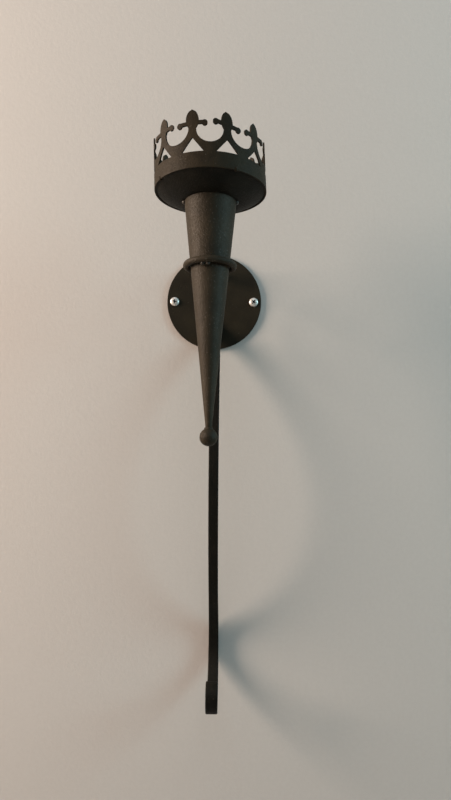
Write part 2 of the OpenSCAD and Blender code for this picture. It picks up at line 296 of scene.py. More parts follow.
@dataclass(frozen=True)
class Layout:
    """The sizes that more than one sub-assembly is built to."""

    plate_thickness: float = 0.003
    screw_span: float = 0.084
    axis_u: float = 0.130
    pan_z: float = 0.052
    pan_rise: float = 0.0088
    pan_clearance: float = 0.0002
    cone_length: float = 0.191
    cone_top_radius: float = 0.022
    cone_tip_radius: float = 0.0026
    ball_radius: float = 0.0077
    ring_z: float = -0.0015
    ring_bar_radius: float = 0.0027
    ring_clearance: float = 0.0009
    ring_gap: float = 0.0002
    scroll_width: float = 0.0095
    scroll_thickness: float = 0.005
    bow_x: float = 0.0025
    bow_side: float = 0.0095
    crown_radius: float = 0.0472
    crown_sheet: float = 0.0013
    crown_drop: float = 0.0006

    @property
    def ring_radius(self) -> float:
        """Radius of the ring's centre line: the torch there, its clearance and half the bar."""
        slope = (self.cone_top_radius - self.cone_tip_radius) / self.cone_length
        return (self.cone_top_radius - slope * (self.pan_z - self.ring_z) + self.ring_clearance
                + self.ring_bar_radius)

    @property
    def scroll_face_u(self) -> float:
        """Distance of the scroll's foremost face from the wall."""
        return self.axis_u - self.ring_radius - self.ring_bar_radius - self.ring_gap

    @property
    def tip_z(self) -> float:
        """Height of the torch's lower end."""
        return self.pan_z - self.cone_length

    @property
    def ball_z(self) -> float:
        """Height of the ball's centre, which the torch's tip sits on."""
        return self.tip_z - math.sqrt(self.ball_radius ** 2 - self.cone_tip_radius ** 2)

    @property
    def crown_inside(self) -> float:
        """Radius of the crown's inside."""
        return self.crown_radius - self.crown_sheet

    @property
    def crown_z(self) -> float:
        """Height of the crown's lower edge."""
        return self.pan_z + self.pan_rise - self.crown_drop

    def on_axis(self, z: float) -> Place:
        """Returns the point at a height on the torch's axis."""
        return 0.0, -self.axis_u, z

    def round_torch(self, turn: float, reach: float, z: float) -> Vector:
        """Returns the point at a turn in degrees, a distance from the torch's axis and a height."""
        angle = math.radians(turn)
        return Vector((reach * math.sin(angle), -self.axis_u - reach * math.cos(angle), z))


LAYOUT = Layout()


# ---------------------------------------------------------------- finishes


class NodeSheet:
    """The node tree of one material, filled from left to right."""

    # the colour sockets of a Mix node, which has others of the same names
    MIX_SHARE, MIX_FIRST, MIX_SECOND, MIX_RESULT = 0, 6, 7, 2

    def __init__(self, name: str) -> None:
        """Starts an empty material with a shader and its output.

        Args:
            name: the material's name.
        """
        self.material = bpy.data.materials.new(name)
        self.material.use_nodes = True
        self.material.node_tree.nodes.clear()
        self.output = self.add("ShaderNodeOutputMaterial")
        self.shader = self.add("ShaderNodeBsdfPrincipled")
        self.place = self.add("ShaderNodeTexCoord")
        self.join(self.shader.outputs["BSDF"], self.output.inputs["Surface"])

    def add(self, kind: str, **settings: object) -> Node:
        """Adds a node.

        Args:
            kind: the node's type.
            settings: its properties and unlinked inputs by name.

        Returns:
            The node.
        """
        node = self.material.node_tree.nodes.new(kind)
        for name, value in settings.items():
            if hasattr(node, name):
                setattr(node, name, value)
            else:
                node.inputs[name.replace("_", " ").title()].default_value = value
        return node

    def join(self, source: Socket, target: Socket) -> None:
        """Links an output to an input."""
        self.material.node_tree.links.new(source, target)

    def feed(self, name: str, source: Socket) -> None:
        """Links an output to the shader's input of a name."""
        self.join(source, self.shader.inputs[name])

    def level(self, name: str, value: float) -> None:
        """Sets the shader's own socket of a name."""
        self.shader.inputs[name].default_value = value

    def noise(self, size: float, detail: float = 1.0, roughness: float = 0.5) -> Socket:
        """Adds noise on Object coordinates.

        Args:
            size: about the size of its patches in metres.
            detail: how many finer layers it has.
            roughness: how strong these are.

        Returns:
            Its grey output.
        """
        node = self.add("ShaderNodeTexNoise", scale=1 / size, detail=detail, roughness=roughness)
        self.join(self.place.outputs["Object"], node.inputs["Vector"])
        return node.outputs["Fac"]

    def spread(self, source: Socket, span: tuple[float, float],
               results: tuple[float, float] = (0.0, 1.0)) -> Socket:
        """Maps a span of values to another, clamped.

        Args:
            source: the output that is read.
            span: the values that become the two results.
            results: the lowest and highest result.

        Returns:
            The mapped output.
        """
        node = self.add("ShaderNodeMapRange", from_min=span[0], from_max=span[1], to_min=results[0],
                        to_max=results[1])
        self.join(source, node.inputs["Value"])
        return node.outputs["Result"]

    def blend(self, share: Socket, first: Socket | Colour, second: Colour) -> Socket:
        """Mixes two colours.

        Args:
            share: how much of the second colour there is.
            first: a colour, or the output that gives it.
            second: the colour that is mixed in.

        Returns:
            The mix's colour output.
        """
        node = self.add("ShaderNodeMix", data_type="RGBA")
        self.join(share, node.inputs[self.MIX_SHARE])
        if isinstance(first, tuple):
            node.inputs[self.MIX_FIRST].default_value = (*first, 1)
        else:
            self.join(first, node.inputs[self.MIX_FIRST])
        node.inputs[self.MIX_SECOND].default_value = (*second, 1)
        return node.outputs[self.MIX_RESULT]

    def bumps(self, *layers: tuple[Socket, float]) -> None:
        """Stacks bump layers on the shader.

        Args:
            layers: the output that each layer reads, and its height in metres.
        """
        below = None
        for source, height in layers:
            node = self.add("ShaderNodeBump", strength=1.0, distance=height)
            self.join(source, node.inputs["Height"])
            if below:
                self.join(below, node.inputs["Normal"])
            below = node.outputs["Normal"]
        self.feed("Normal", below)


@dataclass(frozen=True)
class BlackPaint:
    """Brown-black satin paint over steel: patches of tone, a fine tooth, dents, and light specks that are
    partly rubbed paint and partly painted glints.
    """

    name: str
    deep: Colour = (0.0100, 0.0078, 0.0038)
    faded: Colour = (0.0190, 0.0150, 0.0078)
    # colour of the light specks: rubbed paint, and painted glints
    rubbed_and_glint: Colour = (0.075, 0.068, 0.056)
    patch: float = 0.030
    patch_span: tuple[float, float] = (0.35, 0.65)
    tooth: float = 0.0014
    tooth_span: tuple[float, float] = (0.3, 0.7)
    tooth_height: float = 0.0004
    roughness: float = 0.6
    dent: float = 0.010
    dent_height: float = 0.0004
    smoothest: float = 0.50
    roughest: float = 0.70
    speck: float = 0.0016
    # the noise at which a light speck (rubbed paint and painted glint) starts, how soon it is full, and how
    # strong it is then
    speck_from: float = 0.73
    speck_rim: float = 0.06
    speck_strength: float = 0.7
    gloss: float = 0.35

    def make(self) -> bpy.types.Material:
        """Builds the paint.

        Returns:
            Its material.
        """
        sheet = NodeSheet(self.name)
        patches = sheet.noise(self.patch, 4.0, self.roughness)
        tooth = sheet.noise(self.tooth, 3.0, self.roughness)
        dents = sheet.noise(self.dent)
        specks = sheet.noise(self.speck)
        body = sheet.blend(sheet.spread(patches, self.patch_span), self.deep, self.faded)
        # light specks in the colour: partly rubbed paint, partly painted glints
        rub_and_glint = sheet.spread(specks, (self.speck_from, self.speck_from + self.speck_rim),
                           (0.0, self.speck_strength))
        sheet.feed("Base Color", sheet.blend(rub_and_glint, body, self.rubbed_and_glint))
        sheet.feed("Roughness", sheet.spread(tooth, self.tooth_span, (self.smoothest, self.roughest)))
        sheet.level("Specular IOR Level", self.gloss)
        sheet.bumps((dents, self.dent_height), (tooth, self.tooth_height))
        return sheet.material


@dataclass(frozen=True)
class BrightZinc:
    """Bluish zinc plating on a screw, darkened in its recess by painted shade, and finely marked by the
    driver.
    """

    name: str = "bright_zinc"
    bright: Colour = (0.80, 0.80, 0.78)
    dull: Colour = (0.50, 0.49, 0.46)
    # painted shade: the near-black that the recess faces are mixed toward
    recess_shade_colour: Colour = (0.012, 0.011, 0.009)
    grain: float = 0.0006
    grain_roughness: float = 0.65
    tone_span: tuple[float, float] = (0.35, 0.7)
    scratch_span: tuple[float, float] = (0.3, 0.7)
    scratch_height: float = 0.00002
    smoothest: float = 0.34
    roughest: float = 0.56
    metallic: float = 0.7

    def make(self) -> bpy.types.Material:
        """Builds the plating.

        Returns:
            Its material.
        """
        sheet = NodeSheet(self.name)
        grain = sheet.noise(self.grain, 4.0, self.grain_roughness)
        plated = sheet.blend(sheet.spread(grain, self.tone_span), self.bright, self.dull)
        # painted shade: the marked recess faces are mixed toward the near-black
        shade_in_recess = sheet.add("ShaderNodeAttribute", attribute_name=RECESS_SHADE_MARK)
        sheet.feed("Base Color", sheet.blend(shade_in_recess.outputs["Fac"], plated, self.recess_shade_colour))
        sheet.feed("Roughness", sheet.spread(grain, self.scratch_span, (self.smoothest, self.roughest)))
        sheet.level("Metallic", self.metallic)
        sheet.bumps((grain, self.scratch_height))
        return sheet.material


@dataclass(frozen=True)
class WallPaint:
    """Pale matt emulsion with a faint roller grain. It can let view and light through from behind."""

    name: str
    colour: Colour = (0.56, 0.540, 0.520)
    shade: Colour = (0.545, 0.525, 0.505)
    grain: float = 0.004
    grain_roughness: float = 0.6
    grain_span: tuple[float, float] = (0.35, 0.65)
    grain_height: float = 0.0002
    matt: float = 0.85
    gloss: float = 0.2
    clear_from_behind: bool = False
    # rays that meet the paint sooner than this start on what touches it
    contact: float = 0.0003

    def make(self) -> bpy.types.Material:
        """Builds the emulsion.

        Returns:
            Its material.
        """
        sheet = NodeSheet(self.name)
        grain = sheet.noise(self.grain, 4.0, self.grain_roughness)
        sheet.feed("Base Color", sheet.blend(sheet.spread(grain, self.grain_span), self.colour, self.shade))
        sheet.level("Roughness", self.matt)
        sheet.level("Specular IOR Level", self.gloss)
        sheet.bumps((grain, self.grain_height))
        if self.clear_from_behind:
            self.open_back(sheet)
        return sheet.material

    def open_back(self, sheet: NodeSheet) -> None:
        """Makes the paint clear from behind, and to rays that start on what touches it.

        Args:
            sheet: the paint's node tree.
        """
        touching = sheet.add("ShaderNodeMath", operation="LESS_THAN")
        sheet.join(sheet.add("ShaderNodeLightPath").outputs["Ray Length"], touching.inputs[0])
        touching.inputs[1].default_value = self.contact
        either = sheet.add("ShaderNodeMath", operation="MAXIMUM")
        sheet.join(sheet.add("ShaderNodeNewGeometry").outputs["Backfacing"], either.inputs[0])
        sheet.join(touching.outputs["Value"], either.inputs[1])
        mixed = sheet.add("ShaderNodeMixShader")
        sheet.join(either.outputs["Value"], mixed.inputs[0])
        sheet.join(sheet.shader.outputs["BSDF"], mixed.inputs[1])
        sheet.join(sheet.add("ShaderNodeBsdfTransparent").outputs["BSDF"], mixed.inputs[2])
        sheet.join(mixed.outputs["Shader"], sheet.output.inputs["Surface"])


class Coat(Enum):
    """The finishes of the sconce."""

    PLATE = BlackPaint("plate_paint", tooth_height=0.0002, dent_height=0.0001, gloss=0.18)
    # painted shade: the bars get a darker copy of the same paint, as they stand in less light
    BAR = BlackPaint("bar_paint_shaded", deep=(0.0040, 0.0036, 0.0022), faded=(0.0080, 0.0068, 0.0044),
                     dent=0.008, dent_height=0.0006, gloss=0.12)
    # the torch has more of the light specks, which stand partly for painted glints along its side
    TORCH = BlackPaint("torch_paint", deep=(0.0185, 0.0140, 0.0076), faded=(0.0305, 0.0230, 0.0128),
                       speck_from=0.67, gloss=0.20)
    CROWN = BlackPaint("crown_paint", deep=(0.0140, 0.0105, 0.0054), faded=(0.0245, 0.0183, 0.0096),
                       patch=0.018, gloss=0.13)
    # painted shade: the pan gets a much darker copy of the same paint, as its underside lies in shade
    PAN = BlackPaint("pan_paint_shaded", deep=(0.0056, 0.0054, 0.0036), faded=(0.0116, 0.0104, 0.0070),
                     patch=0.020, gloss=0.12)
    WELD = BlackPaint("weld_paint", faded=(0.034, 0.029, 0.022), dent=0.0018, dent_height=0.0005,
                      smoothest=0.32, roughest=0.5, gloss=0.5)
    SCREW = BrightZinc()

    def material(self) -> bpy.types.Material:
        """Returns the finish's one material, made when it is first asked for."""
        return bpy.data.materials.get(self.value.name) or self.value.make()


def hand_over(piece: Piece, name: str, coat: Coat, node: str) -> Piece:
    """Names and dresses a finished piece, and lets it stand for a node of the frame.

    Args:
        piece: the finished mesh object.
        name: its name.
        coat: its finish.
        node: the node that it stands for, alone or with others.

    Returns:
        The piece.
    """
    piece.name = name
    piece.data.name = name
    piece.data.materials.clear()
    piece.data.materials.append(coat.material())
    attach(piece, "root")
    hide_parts(node)
    piece.data.calc_loop_triangles()
    LOG.info("%s: %d triangles, %s", name, len(piece.data.loop_triangles), coat.value.name)
    return piece


# ---------------------------------------------------------------- wall plate and screws


@dataclass
class WallPlate:
    """The round plate on the wall, with a softened edge and two holes for its screws."""

    radius: float = 0.050
    facets: int = 128
    edge: float = 0.0006
    hole_radius: float = 0.00275
    hole_facets: int = 48
    drill_length: float = 0.012

    def build(self) -> list[Piece]:
        """Turns the disc, drills it and rounds its rims.

        Returns:
            The plate.
        """
        thickness = LAYOUT.plate_thickness
        plate = rod(self.radius, thickness, self.facets, (0, -thickness / 2, 0))
        drills = [rod(self.hole_radius, self.drill_length, self.hole_facets,
                      (side * LAYOUT.screw_span / 2, 0, 0)) for side in (-1, 1)]
        combine(plate, unite(drills), "DIFFERENCE")
        soften(plate, self.edge, segments=3)
        smooth(plate)
        return [hand_over(plate, "wall_plate_disc", Coat.PLATE, "wall_plate")]


@dataclass
class WallScrews:
    """Two pan-head screws with a cross recess and a cut thread behind the plate."""

    names: tuple[str, str] = ("wall_screw_left", "wall_screw_right")
    turns: tuple[float, float] = (8.0, 37.0)
    head_radius: float = 0.0047
    head_facets: int = 48
    head_height: float = 0.0028
    head_edge: float = 0.0001
    rim_height: float = 0.0009
    dome_steps: int = 8
    neck_radius: float = 0.00185
    neck_clearance: float = 0.0002
    shank_facets: int = 32
    thread_radius: float = 0.0025
    root_radius: float = 0.0018
    thread_pitch: float = 0.0019
    # where a turn's root ends and its crest starts and ends, as shares of the pitch
    root_to: float = 0.38
    crest_from: float = 0.62
    crest_to: float = 0.74
    thread_depth: float = 0.037
    # how far the rings are slid in one turn, as a share of the pitch
    helix: float = 0.5
    point_length: float = 0.005
    tip_radius: float = 0.0004
    recess_length: float = 0.0048
    recess_width: float = 0.0012
    recess_depth: float = 0.0018
    # the share of its length that the recess has at its point
    recess_taper: float = 0.55
    # the recess gets painted shade from this share of its depth, and where it is steeper than this
    shade_depth: float = 0.5
    shade_slope: float = 0.8

    def build(self) -> list[Piece]:
        """Makes one screw, copies it and sets both in the plate.

        Returns:
            The left and the right screw.
        """
        first = unite([self.head(), self.shank()])
        smooth(first, angle=40)
        placed = []
        for side, turn, screw, name in zip((-1, 1), self.turns, (first, copy_of(first)), self.names):
            screw.rotation_euler = (math.pi / 2, 0, 0)
            settle(screw)
            screw.rotation_euler = (0, math.radians(turn), 0)
            screw.location = (side * LAYOUT.screw_span / 2, -LAYOUT.plate_thickness, 0)
            settle(screw)
            placed.append(hand_over(screw, name, Coat.SCREW, "wall_screws"))
        return placed

    def head(self) -> Piece:
        """Turns the head, which stands up +Z from the plate's face, and cuts its recess.

        Returns:
            The head.
        """
        head = fresh(bpy.ops.mesh.primitive_cylinder_add, vertices=self.head_facets,
                     radius=self.head_radius, depth=self.rim_height, location=(0, 0, self.rim_height / 2))
        dome = self.head_height - self.rim_height
        angles = [math.pi / 2 * step / self.dome_steps for step in range(self.dome_steps)]
        with editing(head):
            choose(head, Pick.FACES, lambda at: at.z > self.rim_height - TINY)
            grow([(dome * math.sin(angle), math.cos(angle)) for angle in angles], UP, CENTRE)
            bpy.ops.transform.translate(value=(0, 0, dome * (1 - math.sin(angles[-1]))))
        combine(head, self.recess(), "DIFFERENCE")
        soften(head, self.head_edge, sharper_than=60)
        self.shade_in_recess(head)
        return head

    def shade_in_recess(self, head: Piece) -> None:
        """Marks the faces of the recess, which the finish darkens with painted shade.

        Args:
            head: the screw's head with its recess.
        """
        recess_shade = head.data.attributes.new(RECESS_SHADE_MARK, "FLOAT", "FACE")
        for face, mark in zip(head.data.polygons, recess_shade.data):
            inside = math.hypot(face.center.x, face.center.y) < self.recess_length / 2 + TINY
            deep = face.center.z < self.head_height - self.shade_depth * self.recess_depth
            mark.value = float(inside and (deep or face.normal.z < self.shade_slope))

    def recess(self) -> Piece:
        """Makes the cross-shaped punch, narrower at its point.

        Returns:
            The punch, at the top of the head.
        """
        blades = []
        for turn in (0, math.pi / 2):
            blade = fresh(bpy.ops.mesh.primitive_cube_add, size=1)
            with editing(blade):
                for side, share in ((-1, self.recess_taper), (1, 2 - self.recess_taper)):
                    choose(blade, Pick.POINTS, lambda at: at.z * side > 0)
                    bpy.ops.transform.resize(value=(share, 1, 1), center_override=CENTRE)
            blade.scale = (self.recess_length, self.recess_width, 2 * self.recess_depth)
            blade.rotation_euler = (0, 0, turn)
            blade.location = (0, 0, self.head_height)
            settle(blade)
            blades.append(blade)
        return unite(blades)

    def shank(self) -> Piece:
        """Turns neck, thread and point as one closed body that hangs down -Z.

        Returns:
            The shank.
        """
        stops = self.profile()
        shank = fresh(bpy.ops.mesh.primitive_circle_add, vertices=self.shank_facets,
                      radius=self.neck_radius, fill_type="NGON", location=(0, 0, stops[0][0]))
        with editing(shank, Pick.FACES, everything=True):
            grow(stops, UP, CENTRE)
        self.wind(shank)
        close_up(shank)
        return shank

    def profile(self) -> list[tuple[float, float]]:
        """Lists the shank's rings from inside the head to the tip.

        Returns:
            The height and the radius of each.
        """
        start = -LAYOUT.plate_thickness - self.neck_clearance
        end = -LAYOUT.plate_thickness - self.thread_depth
        stops = [(self.rim_height / 2, self.neck_radius), (start, self.neck_radius)]
        turn = ((0, self.root_radius), (self.root_to, self.root_radius),
                (self.crest_from, self.thread_radius), (self.crest_to, self.thread_radius))
        height = start - self.thread_pitch / 2
        while height - self.thread_pitch > end:
            stops += [(height - share * self.thread_pitch, radius) for share, radius in turn]
            height -= self.thread_pitch
        return stops + [(end, self.root_radius), (end - self.point_length, self.tip_radius)]

    def wind(self, shank: Piece) -> None:
        """Slides the thread's rings along by their turn, so that they run as a helix.

        Args:
            shank: the turned shank.
        """
        top = -LAYOUT.plate_thickness - self.thread_pitch
        bottom = -LAYOUT.plate_thickness - self.thread_depth + self.thread_pitch
        for point in shank.data.vertices:
            if bottom < point.co.z < top:
                share = (math.atan2(point.co.y, point.co.x) / math.tau) % 1.0
                point.co.z += (share - 0.5) * self.thread_pitch * self.helix


# ---------------------------------------------------------------- bars


@dataclass(frozen=True)
class Bend:
    """One bend of a bar: the radius of its centre line, and the degrees it turns, + upward."""

    radius: float
    turn: float

    def length(self) -> float:
        """Returns the bend's length along its centre line."""
        return self.radius * math.radians(abs(self.turn))


@dataclass(frozen=True)
class Foot:
    """A place on a bar's centre line near the plate, and its heading there in degrees."""

    u: float
    z: float
    heading: float


@dataclass
class ForgedBar:
    """A bar that is bent about one centre after another, drawn thinner and spread on the way."""

    name: str
    node: str
    foot: Foot
    bends: Sequence[Bend]
    widths: SizeTable
    thicknesses: SizeTable
    side_x: float = 0.0
    corner: float = 0.0012
    corner_steps: int = 4
    # the degrees of one step of a bend, and of one whose radius is over the long one
    stride: float = 5.0
    long_stride: float = 2.0
    long_radius: float = 0.100
    # the foot is what lies nearer to the wall and higher than this, cut at this share of the plate
    foot_reach: float = 0.020
    foot_above: float = -0.080
    foot_cut: float = 0.8
    end_edge: float = 0.0007

    def build(self) -> Piece:
        """Bends the bar from the plate to its free end.

        Returns:
            The bar.
        """
        bar = self.section()
        self.bend(bar)
        self.trim_foot(bar)
        close_up(bar)
        soften(bar, self.end_edge, segments=3, sharper_than=60)
        smooth(bar, angle=40)
        return hand_over(bar, self.name, Coat.BAR, self.node)

    def section(self) -> Piece:
        """Makes the bar's section with round corners, at the start and square to the heading.

        Returns:
            The section, a flat face.
        """
        bar = fresh(bpy.ops.mesh.primitive_plane_add, size=1)
        with editing(bar, everything=True):
            bpy.ops.transform.resize(value=(self.widths[0][1], self.thicknesses[0][1], 1))
            bpy.ops.mesh.bevel(offset=self.corner, segments=self.corner_steps, affect="VERTICES")
        bar.rotation_euler = (math.radians(90 - self.foot.heading), 0, 0)
        bar.location = (self.side_x, -self.foot.u, self.foot.z)
        settle(bar)
        return bar

    def bend(self, bar: Piece) -> None:
        """Spins the section about each bend's centre, and sizes it at every step.

        Args:
            bar: the section.
        """
        u, z, heading, run = self.foot.u, self.foot.z, math.radians(self.foot.heading), 0.0
        width, thickness = self.widths[0][1], self.thicknesses[0][1]
        with editing(bar, Pick.FACES, everything=True):
            for bend in self.bends:
                side = math.copysign(1.0, bend.turn)
                centre_u = u - side * bend.radius * math.sin(heading)
                centre_z = z + side * bend.radius * math.cos(heading)
                stride = self.long_stride if bend.radius > self.long_radius else self.stride
                steps = math.ceil(abs(bend.turn) / stride)
                part = math.radians(bend.turn / steps)
                for _ in range(steps):
                    bpy.ops.mesh.spin(steps=1, angle=part, center=(self.side_x, -centre_u, centre_z),
                                      axis=ALONG_X)
                    heading += part
                    u = centre_u + side * bend.radius * math.sin(heading)
                    z = centre_z - side * bend.radius * math.cos(heading)
                    run += bend.radius * abs(part)
                    new_width, new_thickness = size_at(self.widths, run), size_at(self.thicknesses, run)
                    if (new_width, new_thickness) != (width, thickness):
                        thinner = new_thickness / thickness
                        bpy.ops.transform.resize(value=(new_width / width, thinner, thinner),
                                                 center_override=(self.side_x, -u, z))
                    width, thickness = new_width, new_thickness

    def trim_foot(self, bar: Piece) -> None:
        """Cuts the bar's start off inside the wall plate.

        Args:
            bar: the bent bar.
        """
        with editing(bar):
            choose(bar, Pick.POINTS, lambda at: at.y > -self.foot_reach and at.z > self.foot_above)
            bpy.ops.mesh.bisect(plane_co=(0, -self.foot_cut * LAYOUT.plate_thickness, 0),
                                plane_no=(0, 1, 0), use_fill=True, clear_outer=True)


@dataclass
class Bars:
    """The bow with its tail hook, and the scroll that carries the torch."""

    start_u: float = LAYOUT.plate_thickness - 0.006
    bow_depth: float = 0.060
    bow_z: float = -0.178
    bow_upper_radius: float = 0.220
    bow_lower_radius: float = 0.275
    back_radius: float = 0.060
    wall_gap: float = 0.0003
    hook_bends: tuple[Bend, ...] = (Bend(0.049, 90), Bend(0.016, 90), Bend(0.0105, 90), Bend(0.009, 40))
    hook_width: float = 0.0114
    hook_tip_thickness: float = 0.0045
    widening: float = 0.060
    scroll_tip_thickness: float = 0.0032
    scroll_front_u: float = LAYOUT.scroll_face_u - LAYOUT.scroll_thickness / 2
    lead_radius: float = 0.420
    scroll_radii: tuple[float, ...] = (0.035, 0.0345, 0.029, 0.021, 0.015)
    scroll_end: Bend = Bend(0.010, -75)

    def build(self) -> list[Piece]:
        """Returns the two bars."""
        return [self.scroll().build(), self.bow().build()]

    def bow_foot(self, u: float) -> Foot:
        """Returns where the bow's upper arc is at a distance from the wall."""
        turn = math.acos((self.bow_upper_radius - self.bow_depth + u) / self.bow_upper_radius)
        return Foot(u, self.bow_z + self.bow_upper_radius * math.sin(turn), math.degrees(turn) - 90)

    def scroll_foot(self, u: float) -> Foot:
        """Returns where the scroll's lead is at a distance from the wall.

        Args:
            u: the distance from the wall.

        Returns:
            The place and its heading.
        """
        turn = math.asin((self.scroll_front_u - self.scroll_radii[0] - u) / self.lead_radius)
        drop = self.lead_radius * (1 - math.cos(turn))
        return Foot(u, LAYOUT.ring_z + self.scroll_radii[0] - drop, math.degrees(turn))

    def bow(self) -> ForgedBar:
        """Lays out the bow: from the plate down its belly, back to the wall and round the hook.

        Returns:
            The bar to be bent.
        """
        foot, side = self.bow_foot(self.start_u), LAYOUT.bow_side
        both = self.bow_lower_radius + self.back_radius
        back = math.degrees(math.acos((both - self.bow_depth + self.wall_gap + side / 2) / both))
        bends = [Bend(self.bow_upper_radius, -90 - foot.heading), Bend(self.bow_lower_radius, -back),
                 Bend(self.back_radius, back), *self.hook_bends]
        lengths = [bend.length() for bend in bends]
        rest, hook, end = sum(lengths[:3]), sum(lengths[:4]), sum(lengths)
        return ForgedBar(
            "bow_bar_forged", "bow_bar", foot, bends,
            [(0, side), (rest - self.widening, side), (hook, self.hook_width), (end, self.hook_width)],
            [(0, side), (rest, side), (end, self.hook_tip_thickness)], side_x=LAYOUT.bow_x)

    def scroll(self) -> ForgedBar:
        """Lays out the scroll: a long lead from the plate, rolled inward behind the ring.

        Returns:
            The bar to be bent.
        """
        foot, thickness = self.scroll_foot(self.start_u), LAYOUT.scroll_thickness
        bends = [Bend(self.lead_radius, -foot.heading),
                 *(Bend(radius, -90) for radius in self.scroll_radii), self.scroll_end]
        lengths = [bend.length() for bend in bends]
        taper, end = sum(lengths[:4]), sum(lengths)
        return ForgedBar(
            "scroll_bar_forged", "scroll_bar", foot, bends,
            [(0, LAYOUT.scroll_width), (end, LAYOUT.scroll_width)],
            [(0, thickness), (taper, thickness), (end, self.scroll_tip_thickness)])


# ---------------------------------------------------------------- torch, ring and ball


@dataclass
class Torch:
    """The rolled tapered torch, the ball at its tip and the ring that holds it."""

    wall: float = 0.0015
    cone_facets: int = 128
    cone_courses: int = 5
    rim_edge: float = 0.0003
    ball_facets: int = 64
    # the ball's top up to this many degrees from its pole is drawn in and flattened by these shares
    neck_turn: float = 16.0
    neck_share: float = 0.45
    neck_flat: float = 0.2
    ring_facets: int = 120
    ring_bar_facets: int = 24
    ring_play: float = 0.00004
    ring_seed: int = 4

    def build(self) -> list[Piece]:
        """Returns the torch, its ball and its ring."""
        return [self.cone(), self.ball(), self.ring()]

    def cone(self) -> Piece:
        """Rolls the sheet into a cone, thickens it inward and rounds its two rims.

        Returns:
            The torch's body.
        """
        length = LAYOUT.cone_length
        cone = fresh(bpy.ops.mesh.primitive_cone_add, vertices=self.cone_facets,
                     radius1=LAYOUT.cone_tip_radius, radius2=LAYOUT.cone_top_radius, depth=length,
                     end_fill_type="NOTHING", location=LAYOUT.on_axis(LAYOUT.pan_z - length / 2))
        with editing(cone, Pick.FACES, everything=True):
            for course in range(1, self.cone_courses):
                bpy.ops.mesh.select_all(action="SELECT")
                bpy.ops.mesh.bisect(plane_co=(0, 0, LAYOUT.pan_z - course / self.cone_courses * length),
                                    plane_no=UP)
        work(cone, "SOLIDIFY", thickness=self.wall, offset=-1.0, use_even_offset=True)
        close_up(cone)
        soften(cone, self.rim_edge)
        smooth(cone)
        return hand_over(cone, "torch_cone_rolled", Coat.TORCH, "torch_cone")

    def ball(self) -> Piece:
        """Turns the ball and draws its top up into a short neck, which the tip's weld holds.

        Returns:
            The ball.
        """
        radius, middle = LAYOUT.ball_radius, LAYOUT.ball_z
        ball = fresh(bpy.ops.mesh.primitive_uv_sphere_add, segments=self.ball_facets,
                     ring_count=self.ball_facets // 2, radius=radius, location=LAYOUT.on_axis(middle))
        neck_from = middle + radius * math.cos(math.radians(self.neck_turn))
        with editing(ball):
            choose(ball, Pick.FACES, lambda at: at.z > neck_from)
            bpy.ops.mesh.extrude_region_move(TRANSFORM_OT_translate={"value": (0, 0, self.wall)})
            bpy.ops.transform.resize(value=(self.neck_share, self.neck_share, self.neck_flat),
                                     center_override=LAYOUT.on_axis(middle + radius))
        close_up(ball)
        smooth(ball, angle=60)
        return hand_over(ball, "ball_finial_turned", Coat.TORCH, "ball_finial")

    def ring(self) -> Piece:
        """Bends the round bar into the ring, hardly out of true as a hand-closed ring is.

        Returns:
            The ring.
        """
        ring = fresh(bpy.ops.mesh.primitive_torus_add, location=LAYOUT.on_axis(LAYOUT.ring_z),
                     major_segments=self.ring_facets, minor_segments=self.ring_bar_facets,
                     major_radius=LAYOUT.ring_radius, minor_radius=LAYOUT.ring_bar_radius)
        with editing(ring, everything=True):
            make_uneven(self.ring_play, self.ring_seed, passes=3, outward=False)
        close_up(ring)
        smooth(ring, angle=60)
        return hand_over(ring, "holder_ring_bent", Coat.TORCH, "holder_ring")


# ---------------------------------------------------------------- pan and crown


@dataclass
class DripPan:
    """The dished pan: a flat middle and a flank that rises to the crown."""

    sheet: float = 0.0015
    flat_radius: float = 0.023
    radius: float = LAYOUT.crown_inside - LAYOUT.pan_clearance
    dish_radius: float = 0.069
    facets: int = 128
    rings: int = 12
    # the rings that the flat middle is divided in, as shares of its radius
    flat_rings: tuple[float, ...] = (0.36, 0.24)
    edge: float = 0.0003

    def flank_height(self, reach: float) -> float:
        """Works out the flank's arc, which bulges down and outward.

        Args:
            reach: the distance from the torch's axis.

        Returns:
            The height of the underside there above the flat middle.
        """
        run, rise = self.radius - self.flat_radius, LAYOUT.pan_rise
        chord = math.hypot(run, rise)
        sag = math.sqrt(self.dish_radius ** 2 - (chord / 2) ** 2) / chord
        centre_r = self.flat_radius + run / 2 - sag * rise
        centre_z = rise / 2 + sag * run
        return centre_z - math.sqrt(self.dish_radius ** 2 - (reach - centre_r) ** 2)

    def build(self) -> list[Piece]:
        """Spreads the sheet ring by ring, thickens it upward and rounds its rim.

        Returns:
            The pan.
        """
        centre = LAYOUT.on_axis(LAYOUT.pan_z)
        pan = fresh(bpy.ops.mesh.primitive_circle_add, vertices=self.facets, radius=self.flat_radius,
                    fill_type="NGON", location=centre)
        run = self.radius - self.flat_radius
        reaches = [self.flat_radius + run * step / self.rings for step in range(1, self.rings + 1)]
        with editing(pan, Pick.EDGES, everything=True):
            grow([(0.0, self.flat_radius), *((self.flank_height(reach), reach) for reach in reaches)],
                 UP, centre, edges=True)
            choose(pan, Pick.FACES, lambda at: math.hypot(at.x, at.y + LAYOUT.axis_u) < TINY)
            for share in self.flat_rings:
                bpy.ops.mesh.inset(thickness=self.flat_radius * share)
        with editing(pan, everything=True):
            bpy.ops.mesh.normals_make_consistent(inside=False)
        upward = math.copysign(1.0, pan.data.polygons[0].normal.z)
        work(pan, "SOLIDIFY", thickness=self.sheet, offset=upward, use_even_offset=True)
        close_up(pan)
        soften(pan, self.edge)
        smooth(pan)
        return [hand_over(pan, "drip_pan_dished", Coat.PAN, "drip_pan")]


